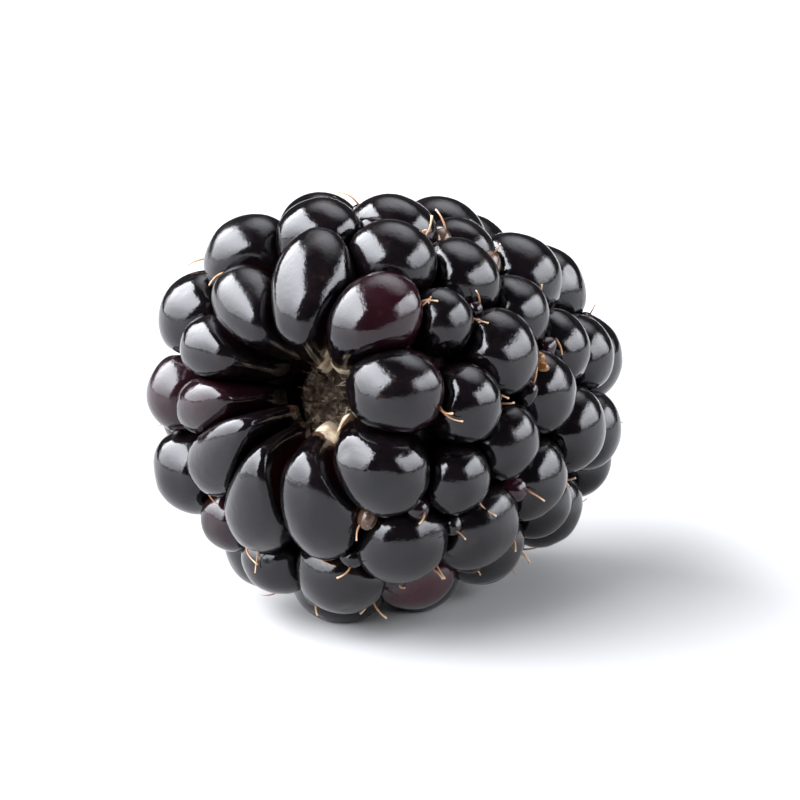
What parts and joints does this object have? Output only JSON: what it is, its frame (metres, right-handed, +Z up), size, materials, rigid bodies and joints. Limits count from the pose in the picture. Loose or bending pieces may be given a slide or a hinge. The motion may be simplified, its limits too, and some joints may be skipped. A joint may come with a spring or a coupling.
{
  "type": "bramble berry",
  "caption": "Ripe picked bramble berry: glossy drupelets fused round a pale receptacle, with the torn hollow of the stalk at its stem end, lying on its side.",
  "frame": {"origin": "centre of the bounding box's base, on the surface that the berry lies on", "axes": "+Z up; +Y from the stem end to the tip, along the surface; +X completes a right-handed frame"},
  "size_m": [0.0221, 0.0287, 0.0225],
  "materials": {
    "drupelet_skin": "thin taut fruit skin, near black with a purple undertone, wet gloss, ruby in the creases",
    "receptacle_pith": "dull cream pith, fibrous and brown where the stalk tore out",
    "dried_style": "dry golden-brown hair"
  },
  "bodies": {
    "root": {"drupelets": "drupelet_skin", "receptacle": "receptacle_pith"}
  },
  "joints": []
}
